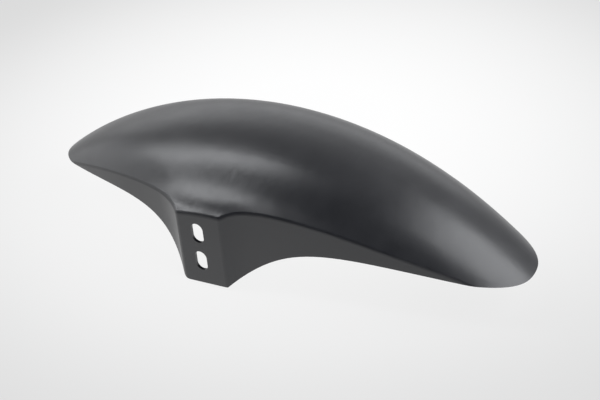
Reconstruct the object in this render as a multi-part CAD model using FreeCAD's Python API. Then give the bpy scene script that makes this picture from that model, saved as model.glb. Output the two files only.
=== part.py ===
"""Motorcycle front fender: one formed plastic shell with a slotted mount panel on each side.

Millimetres. +X runs along the fender towards its longer end, +Y across it and +Z up.
The fender is drawn about the middle of its mount slots. It is then moved so that the origin lies
under the middle of its length, on the centre plane, at the level of the panels' lowest corners.
"""
import FreeCAD, Part
import math
import os

# Shell
WALL = 2.5                    # thickness of the formed sheet
CROWN_RADIUS = 340.0          # outside of the crown, about the wheel axle
AXLE_X = 26.5                 # wheel axle from the slots, along the fender
AXLE_DROP = 262.3             # wheel axle below the slots

# Dome: its cross-section falls away from the crown line by a power curve
DOME_HALF_WIDTH = 67.9        # crown line to crease, at the axle
DOME_DEPTH = 35.9             # crown line down to crease, at the axle
DOME_POWER = 2.4
TAPER_ANGLE = 40.0            # angle about the axle at which the tapers and sinks below apply
LONG_NARROWING = 0.52         # share of the half width lost there, on the long end
SHORT_NARROWING = 0.69
LONG_SHALLOWING = 0.73        # share of the depth lost there, on the long end
SHORT_SHALLOWING = 0.87

# Flare: the flank turns outwards again to reach the mount panels
FLARE_HALF_WIDTH = 63.0       # where the flare's depth and slope are given
FLARE_DEPTH = 29.5
FLARE_SLOPE = 0.44
FLARE_BULGE = 0.018           # half the growth of the slope for each millimetre outwards
LONG_SINK = 10.4              # how far the flare sinks towards the ends
SHORT_SINK = 46.7
FLARE_BLEND = 2.5             # softness of the hollow between flank and flare

# Mount panels
PANEL_HALF_SPAN = 82.6        # centre plane to the flat outside of a panel
PANEL_SHORT_EDGE = -18.9      # upright panel edge on the short end
PANEL_LONG_EDGE = 22.5
PANEL_SHORT_BOTTOM = -38.1    # lower end of that edge
PANEL_LONG_BOTTOM = -34.4
PANEL_LEDGE_DEPTH = 43.3      # crown line down to the ledge above a panel
PANEL_LEDGE_SLOPE = 0.4
PANEL_LEDGE_BLEND = 0.5
LONG_RECESS = 56.4            # length over which the side falls back from a panel
SHORT_RECESS = 21.5
LONG_STEP = 0.35              # share of the fall that comes at once, within the step length
SHORT_STEP = 0.21
STEP_LENGTH = 8.0
PANEL_EDGE_RADIUS = 6.0       # rounding of the upright panel edges
PANEL_CORNER_RADIUS = 6.5     # lower corner of a panel, on the short end
CREASE_RADIUS = 4.0           # rolled edge between the top and the upright sides

# Slots
SLOT_WIDTH = 11.0
SLOT_LENGTH = 18.5
SLOT_PITCH = 27.5

# Trim line in side view, from the panels' lower corners to the two tips
LONG_TIP_ANGLE = 40.85
SHORT_TIP_ANGLE = 39.2
LONG_TRIM_HANDLES = ((77.6, 18.9), (99.3, 22.9))
SHORT_TRIM_HANDLES = ((-39.4, 22.1), (-77.8, 14.8))
TIP_OVERRUN = 3.0             # angle by which the untrimmed skin runs past the tips
SKIRT_OVERRUN = 6.0           # length by which the untrimmed skin runs past the panels

# Spacing of the points that the curved surfaces are drawn through
SKIN_ROWS = 12
SKIN_COLUMNS = 16
SKIN_GRADING = 1.4
SKIN_MARGIN = 5.0
SKIN_SPREAD = 2.2
SKIN_DROP = 250.0
SIDE_STEPS = 14
SIDE_GRADING = 1.7
SIDE_LEAD = 8.0
SLOPE_STEP = 0.5
SOLVE_STEPS = 12
NEAR = 0.01                   # within this distance, two points count as the same


def taper(angle, long_share, short_share):
    """Factor by which a dome size shrinks at an angle about the axle."""
    share = long_share if angle > 0 else short_share
    return 1 - share * (angle / TAPER_ANGLE) ** 2


def dome_half_width(angle):
    return DOME_HALF_WIDTH * taper(angle, LONG_NARROWING, SHORT_NARROWING)


def dome_depth(angle):
    return DOME_DEPTH * taper(angle, LONG_SHALLOWING, SHORT_SHALLOWING)


def soft_least(first, second, softness):
    """The lesser of two depths, with a hollow of the given softness between them."""
    gap = abs(first - second)
    return min(first, second) - softness * math.log(1 + math.exp(-gap / softness))


def crown_x(angle):
    return AXLE_X + CROWN_RADIUS * math.sin(math.radians(angle))


def skin_depth(angle, y):
    """Depth of the outer skin below the crown line, measured towards the axle."""
    dome = dome_depth(angle) * (y / dome_half_width(angle)) ** DOME_POWER
    sink = (LONG_SINK if angle > 0 else SHORT_SINK) * (angle / TAPER_ANGLE) ** 2
    out = y - FLARE_HALF_WIDTH
    flare = FLARE_DEPTH + FLARE_SLOPE * out + FLARE_BULGE * out ** 2 + sink
    ledge = PANEL_LEDGE_DEPTH - PANEL_LEDGE_SLOPE * (PANEL_HALF_SPAN - y) + sink
    body = soft_least(dome, flare, FLARE_BLEND)
    return soft_least(body, ledge, PANEL_LEDGE_BLEND)


def skin_point(angle, y):
    """Point of the outer skin at an angle about the axle, on the +Y half."""
    radius = CROWN_RADIUS - skin_depth(angle, y)
    turn = math.radians(angle)
    return FreeCAD.Vector(
        AXLE_X + radius * math.sin(turn), y, radius * math.cos(turn) - AXLE_DROP
    )


def skin_reach(angle):
    """Half width over which the skin is drawn: a little more than the side walls need."""
    x = crown_x(angle)
    recess = LONG_RECESS if x > 0 else SHORT_RECESS
    bump = math.exp(-((x / (SKIN_SPREAD * recess)) ** 2))
    narrow = dome_half_width(angle)
    return narrow + (PANEL_HALF_SPAN - narrow) * bump + SKIN_MARGIN


def spline(points, parameters):
    curve = Part.BSplineCurve()
    curve.interpolate(Points=points, Parameters=parameters)
    return curve


def spline_surface(grid, places, girth):
    """Smooth surface through a grid of points, one row for each angle about the axle."""
    across = [spline(row, girth) for row in grid]
    lines = zip(*[curve.getPoles() for curve in across])
    along = [spline(list(line), places) for line in lines]
    surface = Part.BSplineSurface()
    surface.buildFromPolesMultsKnots(
        [list(row) for row in zip(*[curve.getPoles() for curve in along])],
        along[0].getMultiplicities(),
        across[0].getMultiplicities(),
        along[0].getKnots(),
        across[0].getKnots(),
        False,
        False,
        along[0].Degree,
        across[0].Degree,
    )
    return surface


def skin_surface(inset):
    """Top of the fender, moved inwards by the inset square to itself."""
    first = -SHORT_TIP_ANGLE - TIP_OVERRUN
    last = LONG_TIP_ANGLE + TIP_OVERRUN
    angles = [first + (last - first) * i / SKIN_ROWS for i in range(SKIN_ROWS + 1)]
    shares = [i / SKIN_COLUMNS for i in range(-SKIN_COLUMNS, SKIN_COLUMNS + 1)]
    shares = [math.copysign(1 - (1 - abs(s)) ** SKIN_GRADING, s) for s in shares]
    grid = []
    for angle in angles:
        reach = skin_reach(angle)
        row = [skin_point(angle, abs(share) * reach) for share in shares]
        for point, share in zip(row, shares):
            point.y = share * reach
        grid.append(row)
    girth = [share * PANEL_HALF_SPAN for share in shares]
    places = [math.radians(angle) * CROWN_RADIUS for angle in angles]
    outer = spline_surface(grid, places, girth)
    if inset == 0:
        return outer
    moved = []
    for place, row in zip(places, grid):
        normals = [outer.normal(place, v) for v in girth]
        moved.append([p - n * math.copysign(inset, n.z) for p, n in zip(row, normals)])
    return spline_surface(moved, places, girth)


def crease_angle(x):
    """Angle about the axle of the dome's crease at x."""
    angle = 0.0
    for _ in range(SOLVE_STEPS):
        reach = CROWN_RADIUS - dome_depth(angle)
        angle = math.degrees(math.asin((x - AXLE_X) / reach))
    return angle


def side_curve(end, edge, recess, step, tip_angle, inset):
    """Side wall in plan, from inside its upright panel edge to past the tip, moved inwards."""
    last = abs(crown_x(end * (tip_angle + TIP_OVERRUN)) - edge)

    def span(past):
        narrow = dome_half_width(crease_angle(edge + end * past))
        slow = (1 - step) * math.exp(-past / recess)
        quick = step * math.exp(-past / STEP_LENGTH)
        return narrow + (PANEL_HALF_SPAN - narrow) * (slow + quick)

    points = []
    for i in range(SIDE_STEPS + 1):
        past = -SIDE_LEAD + (last + SIDE_LEAD) * (i / SIDE_STEPS) ** SIDE_GRADING
        rise = (span(past + SLOPE_STEP) - span(past - SLOPE_STEP)) / (2 * SLOPE_STEP)
        slant = inset / math.hypot(1, rise)
        points.append(
            FreeCAD.Vector(edge + end * (past + slant * rise), span(past) - slant, 0)
        )
    curve = Part.BSplineCurve()
    curve.interpolate(points)
    return curve.toShape(), points[0], points[-1]


def mirrored(shape):
    return shape.mirror(FreeCAD.Vector(), FreeCAD.Vector(0, 1, 0))


def polyline(*points):
    return Part.makePolygon([FreeCAD.Vector(*point) for point in points]).Edges


def plan_prism(inset):
    """Upright prism over the plan of the fender: two flat panels and the four side curves."""
    low = min(PANEL_SHORT_BOTTOM, PANEL_LONG_BOTTOM) - SKIRT_OVERRUN
    high = CROWN_RADIUS - AXLE_DROP + SKIRT_OVERRUN
    short_end = crown_x(-SHORT_TIP_ANGLE - TIP_OVERRUN)
    long_end = crown_x(LONG_TIP_ANGLE + TIP_OVERRUN)
    half_span = PANEL_HALF_SPAN - inset
    prism = Part.makeBox(
        long_end - short_end,
        2 * half_span,
        high - low,
        FreeCAD.Vector(short_end, -half_span, low),
    )
    ends = (
        (1, PANEL_LONG_EDGE, LONG_RECESS, LONG_STEP, LONG_TIP_ANGLE, short_end),
        (-1, PANEL_SHORT_EDGE, SHORT_RECESS, SHORT_STEP, SHORT_TIP_ANGLE, long_end),
    )
    for end, edge, recess, step, tip_angle, far in ends:
        curve, near_panel, near_tip = side_curve(end, edge, recess, step, tip_angle, inset)
        beyond = far - end * SKIRT_OVERRUN
        outline = [curve, mirrored(curve)]
        outline += polyline(
            near_panel,
            (beyond, near_panel.y, 0),
            (beyond, -near_panel.y, 0),
            (near_panel.x, -near_panel.y, 0),
        )
        outline += polyline(near_tip, (near_tip.x, -near_tip.y, 0))
        face = Part.Face(Part.Wire(Part.__sortEdges__(outline)))
        face.translate(FreeCAD.Vector(0, 0, low))
        prism = prism.common(face.extrude(FreeCAD.Vector(0, 0, high - low)))
    upright = []
    for edge in prism.Edges:
        middle = edge.CenterOfMass
        between_ends = short_end + NEAR < middle.x < long_end - NEAR
        half_way_up = abs(middle.z - (low + high) / 2) < NEAR
        if between_ends and half_way_up and abs(abs(middle.y) - half_span) < NEAR:
            upright.append(edge)
    return prism.makeFillet(PANEL_EDGE_RADIUS - inset, upright)


def plug(inset):
    """Solid form of the fender moved inwards by the inset. Only the outer form has rolled creases."""
    skin = skin_surface(inset).toShape()
    body = plan_prism(inset).common(skin.extrude(FreeCAD.Vector(0, 0, -SKIN_DROP))).Solids[0]
    if inset:
        return body
    bent = [face for face in body.Faces if face.Surface.TypeId == "Part::GeomBSplineSurface"]
    top = max(bent, key=lambda face: face.Area)
    short_end = crown_x(-SHORT_TIP_ANGLE)
    long_end = crown_x(LONG_TIP_ANGLE)
    creases = [edge for edge in top.Edges if short_end < edge.CenterOfMass.x < long_end]
    return body.makeFillet(CREASE_RADIUS, creases)


def tip(angle):
    turn = math.radians(angle)
    return FreeCAD.Vector(
        AXLE_X + CROWN_RADIUS * math.sin(turn), 0, CROWN_RADIUS * math.cos(turn) - AXLE_DROP
    )


def trim_curve(corner, handles, end):
    curve = Part.BezierCurve()
    curve.setPoles([corner] + [FreeCAD.Vector(x, 0, z) for x, z in handles] + [end])
    return curve.toShape()


def side_prism():
    """Everything inside the trim line, right across the fender."""
    low_short = FreeCAD.Vector(PANEL_SHORT_EDGE, 0, PANEL_SHORT_BOTTOM)
    low_long = FreeCAD.Vector(PANEL_LONG_EDGE, 0, PANEL_LONG_BOTTOM)
    short_tip = tip(-SHORT_TIP_ANGLE)
    long_tip = tip(LONG_TIP_ANGLE)
    roof = CROWN_RADIUS - AXLE_DROP + SKIRT_OVERRUN
    outline = [
        Part.LineSegment(low_short, low_long).toShape(),
        trim_curve(low_long, LONG_TRIM_HANDLES, long_tip),
        Part.LineSegment(long_tip, FreeCAD.Vector(long_tip.x, 0, roof)).toShape(),
        Part.LineSegment(
            FreeCAD.Vector(long_tip.x, 0, roof), FreeCAD.Vector(short_tip.x, 0, roof)
        ).toShape(),
        Part.LineSegment(FreeCAD.Vector(short_tip.x, 0, roof), short_tip).toShape(),
        trim_curve(low_short, SHORT_TRIM_HANDLES, short_tip),
    ]
    wire = Part.Wire(Part.__sortEdges__(outline))
    face = Part.Face(wire)
    reach = PANEL_HALF_SPAN + SKIRT_OVERRUN
    face.translate(FreeCAD.Vector(0, -reach, 0))
    prism = face.extrude(FreeCAD.Vector(0, 2 * reach, 0))
    corner = [edge for edge in prism.Edges if edge.CenterOfMass.isEqual(low_short, NEAR)]
    return prism.makeFillet(PANEL_CORNER_RADIUS, corner)


def slot(z):
    """One upright slot through both panels."""
    reach = PANEL_HALF_SPAN + SKIRT_OVERRUN
    straight = SLOT_LENGTH - SLOT_WIDTH
    box = Part.makeBox(
        SLOT_WIDTH, 2 * reach, straight, FreeCAD.Vector(-SLOT_WIDTH / 2, -reach, z - straight / 2)
    )
    for end in (-1, 1):
        box = box.fuse(
            Part.makeCylinder(
                SLOT_WIDTH / 2,
                2 * reach,
                FreeCAD.Vector(0, -reach, z + end * straight / 2),
                FreeCAD.Vector(0, 1, 0),
            )
        )
    return box


trim = side_prism()
fender = plug(0).cut(plug(WALL)).common(trim)
for z in (-SLOT_PITCH / 2, SLOT_PITCH / 2):
    fender = fender.cut(slot(z))
fender = fender.Solids[0]
middle = (crown_x(LONG_TIP_ANGLE) + crown_x(-SHORT_TIP_ANGLE)) / 2
fender.translate(FreeCAD.Vector(-middle, 0, -trim.optimalBoundingBox().ZMin))
os.makedirs("parts", exist_ok=True)
fender.exportStep("parts/fender_shell.step")
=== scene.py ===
"""Motorcycle front fender on a plain pale floor, seen as in a studio photograph. Metres, +Z up."""
import math

import bpy
from mathutils import Matrix, Vector


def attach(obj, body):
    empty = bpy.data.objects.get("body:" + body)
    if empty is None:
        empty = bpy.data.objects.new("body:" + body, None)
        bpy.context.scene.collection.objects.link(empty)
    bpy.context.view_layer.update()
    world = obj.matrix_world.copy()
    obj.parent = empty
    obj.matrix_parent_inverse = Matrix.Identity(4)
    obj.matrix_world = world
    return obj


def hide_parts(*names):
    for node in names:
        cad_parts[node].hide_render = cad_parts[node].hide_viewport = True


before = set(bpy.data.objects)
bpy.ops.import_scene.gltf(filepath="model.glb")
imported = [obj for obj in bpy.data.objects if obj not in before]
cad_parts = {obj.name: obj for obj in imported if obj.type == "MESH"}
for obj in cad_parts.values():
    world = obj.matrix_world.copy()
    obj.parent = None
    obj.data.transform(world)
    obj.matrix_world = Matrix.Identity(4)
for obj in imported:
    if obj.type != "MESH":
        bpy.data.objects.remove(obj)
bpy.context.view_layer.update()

# Fender shell
# One moulded sheet of black plastic: the dome over the tyre, the flares, the side skirts and both
# mount panels. It is fixed by bolts through the slots of the panels, and nothing is fastened to it.
WELD_DISTANCE = 1e-6

cad_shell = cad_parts["fender_shell"]
bpy.ops.object.select_all(action="DESELECT")
shell = bpy.data.objects.new("moulded_shell", cad_shell.data.copy())
bpy.context.scene.collection.objects.link(shell)
shell.select_set(True)
bpy.context.view_layer.objects.active = shell
skin = shell.data

# The solid's own normals are kept at each corner while its loose triangles are merged.
facing = skin.attributes.new("facing", "FLOAT_VECTOR", "CORNER")
facing.data.foreach_set("vector", [part for corner in skin.corner_normals for part in corner.vector])
bpy.ops.mesh.customdata_custom_splitnormals_clear()
bpy.ops.object.shade_smooth()
bpy.context.tool_settings.mesh_select_mode = (False, False, True)
bpy.ops.object.mode_set(mode="EDIT")
bpy.ops.mesh.select_all(action="SELECT")
bpy.ops.mesh.remove_doubles(threshold=WELD_DISTANCE)
bpy.ops.mesh.select_all(action="DESELECT")
bpy.ops.object.mode_set(mode="OBJECT")

# The outer skin of the flare over each panel gets finer faces. Its hollow, its rounded edge and its
# ledge are then drawn a little stronger, by under half a millimetre, so that they catch the light in
# soft bands. Each pair is a distance from the centre plane and the slope that the skin gains there.
LEDGE_START = 0.0756
FLARE_SLOPES = (
    (0.0470, 0.000),
    (0.0570, -0.030),
    (0.0668, 0.065),
    (LEDGE_START, -0.030),
    (0.0802, 0.100),
    (0.0826, 0.000),
)
LEDGE_FADE = (-0.0500, -0.0340)
FLARE_SHORT_FADE = (-0.1000, -0.0600)
FLARE_LONG_FADE = (0.0250, 0.0800)
FLARE_FOOT_FADE = (0.0560, 0.0660)
UPWARD_FADE = (0.30, 0.70)
SLOPE_STEP = 1e-5
FLARE_CUTS = 4


def rise(value, low, high):
    """Smooth step from 0 at low to 1 at high."""
    t = min(max((value - low) / (high - low), 0.0), 1.0)
    return t * t * (3.0 - 2.0 * t)


def flare_lift(x, y, z):
    """Height that the skin of the flare gains at a point."""
    lift = 0.0
    for (start, slope), (end, next_slope) in zip(FLARE_SLOPES, FLARE_SLOPES[1:]):
        t = min(max((abs(y) - start) / (end - start), 0.0), 1.0)
        eased = t / 2.0 - math.sin(math.pi * t) / math.tau
        gain = (end - start) * (slope * t + (next_slope - slope) * eased)
        if start >= LEDGE_START:
            gain *= rise(x, *LEDGE_FADE)
        lift += gain
    lift *= rise(x, *FLARE_SHORT_FADE) * (1.0 - rise(x, *FLARE_LONG_FADE))
    return lift * rise(z, *FLARE_FOOT_FADE)


for face in skin.polygons:
    in_length = FLARE_SHORT_FADE[0] < face.center.x < FLARE_LONG_FADE[1]
    in_width = FLARE_SLOPES[0][0] < abs(face.center.y) < FLARE_SLOPES[-1][0]
    face.select = in_length and in_width and face.normal.z > UPWARD_FADE[0]
bpy.ops.object.mode_set(mode="EDIT")
bpy.ops.mesh.subdivide(number_cuts=FLARE_CUTS, ngon=False)
bpy.ops.object.mode_set(mode="OBJECT")

skin_normals = [corner.vector.normalized() for corner in skin.attributes["facing"].data]
outer_points = set()
for corner in skin.loops:
    normal = skin_normals[corner.index]
    upward = rise(normal.z, *UPWARD_FADE)
    if upward > 0.0:
        outer_points.add(corner.vertex_index)
        x, y, z = skin.vertices[corner.vertex_index].co
        height = flare_lift(x, y, z)
        slope_x = upward * (flare_lift(x + SLOPE_STEP, y, z) - height) / SLOPE_STEP
        slope_y = upward * (flare_lift(x, y + SLOPE_STEP, z) - height) / SLOPE_STEP
        tilt = Vector((slope_x, slope_y, 0.0)) * normal.z
        skin_normals[corner.index] = (normal - tilt).normalized()
for index in outer_points:
    point = skin.vertices[index]
    point.co.z += flare_lift(*point.co)
skin.attributes.remove(skin.attributes["facing"])
skin.normals_split_custom_set(skin_normals)

PLASTIC_DARK = (0.0096, 0.0102, 0.0130, 1.0)
PLASTIC_LIGHT = (0.0140, 0.0147, 0.0182, 1.0)
PLASTIC_IOR = 1.63
PLASTIC_ROUGH_LOW = 0.32
PLASTIC_ROUGH_HIGH = 0.37
MOTTLE_SCALE = 55.0
MOTTLE_DETAIL = 4.0
MOTTLE_LOW = 0.3
MOTTLE_HIGH = 0.7
GRAIN_SCALE = 2400.0
GRAIN_DETAIL = 2.0
GRAIN_STRENGTH = 0.12
GRAIN_DEPTH = 0.00005

plastic = bpy.data.materials.new("matte_black_plastic")
plastic.use_nodes = True
nodes = plastic.node_tree.nodes
links = plastic.node_tree.links
shader = nodes["Principled BSDF"]
shader.inputs["IOR"].default_value = PLASTIC_IOR
place = nodes.new("ShaderNodeTexCoord")

mottle = nodes.new("ShaderNodeTexNoise")
mottle.inputs["Scale"].default_value = MOTTLE_SCALE
mottle.inputs["Detail"].default_value = MOTTLE_DETAIL
links.new(place.outputs["Object"], mottle.inputs["Vector"])

tone = nodes.new("ShaderNodeMix")
tone.data_type = "RGBA"
tone.inputs["A"].default_value = PLASTIC_DARK
tone.inputs["B"].default_value = PLASTIC_LIGHT
links.new(mottle.outputs["Fac"], tone.inputs["Factor"])
links.new(tone.outputs["Result"], shader.inputs["Base Color"])

rough = nodes.new("ShaderNodeMapRange")
rough.inputs["From Min"].default_value = MOTTLE_LOW
rough.inputs["From Max"].default_value = MOTTLE_HIGH
rough.inputs["To Min"].default_value = PLASTIC_ROUGH_LOW
rough.inputs["To Max"].default_value = PLASTIC_ROUGH_HIGH
links.new(mottle.outputs["Fac"], rough.inputs["Value"])
links.new(rough.outputs["Result"], shader.inputs["Roughness"])

grain = nodes.new("ShaderNodeTexNoise")
grain.inputs["Scale"].default_value = GRAIN_SCALE
grain.inputs["Detail"].default_value = GRAIN_DETAIL
links.new(place.outputs["Object"], grain.inputs["Vector"])
grain_bump = nodes.new("ShaderNodeBump")
grain_bump.inputs["Strength"].default_value = GRAIN_STRENGTH
grain_bump.inputs["Distance"].default_value = GRAIN_DEPTH
links.new(grain.outputs["Fac"], grain_bump.inputs["Height"])
links.new(grain_bump.outputs["Normal"], shader.inputs["Normal"])

skin.materials.clear()
skin.materials.append(plastic)
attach(shell, "root")
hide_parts("fender_shell")

# Floor
# A plain pale studio table under the lowest corners of the mount panels. Painted light is put on it:
# what the camera sees of it glows nearly white, in a painted pool of light, so the shadow on it is
# faint.
FLOOR_SIZE = 12.0
FLOOR_COLOUR = (0.82, 0.82, 0.82, 1.0)
FLOOR_ROUGHNESS = 0.9
# The glow numbers below set painted light: a pool of light that only the camera sees on the floor.
GLOW_SHARE = 0.93
PAINTED_POOL_CENTRE = (-0.072, 0.155, 0.0)
GLOW_PEAK = 1.015
GLOW_FALL = -1.75
GLOW_FOOT = 0.70
GLOW_FOOT_BLEND = 0.15
GLOW_WHITE = 1.0

bpy.ops.object.select_all(action="DESELECT")
bpy.ops.mesh.primitive_plane_add(size=FLOOR_SIZE, location=(0.0, 0.0, 0.0))
floor = bpy.context.active_object
floor.name = "studio_floor"
floor_paint = bpy.data.materials.new("pale_floor")
floor_paint.use_nodes = True
nodes = floor_paint.node_tree.nodes
links = floor_paint.node_tree.links
floor_shader = nodes["Principled BSDF"]
floor_shader.inputs["Base Color"].default_value = FLOOR_COLOUR
floor_shader.inputs["Roughness"].default_value = FLOOR_ROUGHNESS
floor_shader.inputs["Specular IOR Level"].default_value = 0.0

# The glow is a painted pool of light on the floor: brightest at its centre, falling with the square of
# the distance, down to an even level.
painted_glow = nodes.new("ShaderNodeEmission")
spot = nodes.new("ShaderNodeTexCoord")
reach = nodes.new("ShaderNodeVectorMath")
reach.operation = "DISTANCE"
reach.inputs[1].default_value = PAINTED_POOL_CENTRE
links.new(spot.outputs["Object"], reach.inputs[0])
square = nodes.new("ShaderNodeMath")
square.operation = "POWER"
square.inputs[1].default_value = 2.0
links.new(reach.outputs["Value"], square.inputs[0])
fall = nodes.new("ShaderNodeMath")
fall.operation = "MULTIPLY_ADD"
fall.inputs[1].default_value = GLOW_FALL
fall.inputs[2].default_value = GLOW_PEAK
links.new(square.outputs["Value"], fall.inputs[0])
soft_foot = nodes.new("ShaderNodeMath")
soft_foot.operation = "SMOOTH_MAX"
soft_foot.inputs[1].default_value = GLOW_FOOT
soft_foot.inputs[2].default_value = GLOW_FOOT_BLEND
links.new(fall.outputs["Value"], soft_foot.inputs[0])
white = nodes.new("ShaderNodeMath")
white.operation = "MINIMUM"
white.inputs[1].default_value = GLOW_WHITE
links.new(soft_foot.outputs["Value"], white.inputs[0])
links.new(white.outputs["Value"], painted_glow.inputs["Strength"])

# The camera sees the glow, directly, in gloss and through clear things. It throws no light of its own.
path = nodes.new("ShaderNodeLightPath")
seen = nodes.new("ShaderNodeMath")
seen.operation = "ADD"
links.new(path.outputs["Is Camera Ray"], seen.inputs[0])
links.new(path.outputs["Is Glossy Ray"], seen.inputs[1])
seen_through = nodes.new("ShaderNodeMath")
seen_through.operation = "ADD"
seen_through.use_clamp = True
links.new(seen.outputs["Value"], seen_through.inputs[0])
links.new(path.outputs["Is Transmission Ray"], seen_through.inputs[1])
share = nodes.new("ShaderNodeMath")
share.operation = "MULTIPLY"
share.inputs[1].default_value = GLOW_SHARE
links.new(seen_through.outputs["Value"], share.inputs[0])

blend = nodes.new("ShaderNodeMixShader")
links.new(share.outputs["Value"], blend.inputs["Fac"])
links.new(floor_shader.outputs["BSDF"], blend.inputs[1])
links.new(painted_glow.outputs["Emission"], blend.inputs[2])
links.new(blend.outputs["Shader"], nodes["Material Output"].inputs["Surface"])
floor.data.materials.append(floor_paint)

# Studio light
# A narrow soft box to the left, a large one to the right, a wide one low behind and a weak card low
# at the left. The room is dark behind the camera and paler on the far side.
LIGHT_AIM = Vector((0.0, 0.0, 0.06))
LIGHT_DISTANCE = 1.6
ALONG_FENDER = "along the fender"
LEVEL = "level"
# Name, azimuth and elevation in degrees, length and width in metres, power in watts, long side
SOFT_BOXES = (
    ("left_soft_box", -157.0, 47.0, 1.4, 0.26, 10.8, ALONG_FENDER),
    ("right_soft_box", 5.0, 38.0, 1.8, 1.30, 31.0, LEVEL),
    ("far_soft_box", 120.0, 22.0, 3.0, 0.80, 6.2, LEVEL),
    ("left_low_card", -165.0, 8.0, 1.6, 0.60, 3.2, LEVEL),
)
LAMP_COLOUR = (0.96, 0.975, 1.0)

for name, azimuth, elevation, length, width, power, long_side in SOFT_BOXES:
    round_z = math.radians(azimuth)
    above = math.radians(elevation)
    outwards = Vector(
        (
            math.cos(above) * math.cos(round_z),
            math.cos(above) * math.sin(round_z),
            math.sin(above),
        )
    )
    if long_side == ALONG_FENDER:
        lengthwise = Vector((outwards.z, 0.0, -outwards.x)).normalized()
    else:
        lengthwise = Vector((-math.sin(round_z), math.cos(round_z), 0.0))
    box_turn = Matrix((lengthwise, outwards.cross(lengthwise), outwards)).transposed().to_4x4()
    lamp = bpy.data.lights.new(name, "AREA")
    lamp.shape = "RECTANGLE"
    lamp.size = length
    lamp.size_y = width
    lamp.energy = power
    lamp.color = LAMP_COLOUR
    soft_box = bpy.data.objects.new(name, lamp)
    soft_box.matrix_world = Matrix.Translation(LIGHT_AIM + outwards * LIGHT_DISTANCE) @ box_turn
    bpy.context.scene.collection.objects.link(soft_box)

# The room runs evenly from dark to pale, by direction.
ROOM_DARK = 0.04
ROOM_PALE = 0.66
ROOM_PALE_SIDE = (-0.42, 0.91, 0.0)
ROOM_DARK_EDGE = -0.4
ROOM_PALE_EDGE = 0.8

room = bpy.data.worlds.new("studio_room")
room.use_nodes = True
nodes = room.node_tree.nodes
links = room.node_tree.links
direction = nodes.new("ShaderNodeTexCoord")
side = nodes.new("ShaderNodeVectorMath")
side.operation = "DOT_PRODUCT"
side.inputs[1].default_value = ROOM_PALE_SIDE
links.new(direction.outputs["Generated"], side.inputs[0])
wall = nodes.new("ShaderNodeMapRange")
wall.inputs["From Min"].default_value = ROOM_DARK_EDGE
wall.inputs["From Max"].default_value = ROOM_PALE_EDGE
wall.inputs["To Min"].default_value = ROOM_DARK
wall.inputs["To Max"].default_value = ROOM_PALE
links.new(side.outputs["Value"], wall.inputs["Value"])
links.new(wall.outputs["Result"], nodes["Background"].inputs["Color"])
bpy.context.scene.world = room

# Camera
# It looks down on the near mount panel and the longer end, turned a little about its own axis.
CAMERA_AIM = Vector((0.0065, 0.01565, 0.0293))
CAMERA_AZIMUTH = math.radians(31.717)
CAMERA_ELEVATION = math.radians(35.579)
CAMERA_ROLL = math.radians(-4.863)
CAMERA_DISTANCE = 0.98847
CAMERA_LENS = 70.297

back = Vector(
    (
        math.sin(CAMERA_AZIMUTH) * math.cos(CAMERA_ELEVATION),
        -math.cos(CAMERA_AZIMUTH) * math.cos(CAMERA_ELEVATION),
        math.sin(CAMERA_ELEVATION),
    )
)
level_right = Vector((math.cos(CAMERA_AZIMUTH), math.sin(CAMERA_AZIMUTH), 0.0))
right = Matrix.Rotation(CAMERA_ROLL, 3, back) @ level_right
up = back.cross(right)
camera_turn = Matrix((right, up, back)).transposed().to_4x4()
camera = bpy.data.objects.new("photo_camera", bpy.data.cameras.new("photo_camera"))
camera.data.lens = CAMERA_LENS
camera.matrix_world = Matrix.Translation(CAMERA_AIM + back * CAMERA_DISTANCE) @ camera_turn
bpy.context.scene.collection.objects.link(camera)
bpy.context.scene.camera = camera
bpy.context.scene.view_settings.view_transform = "Standard"
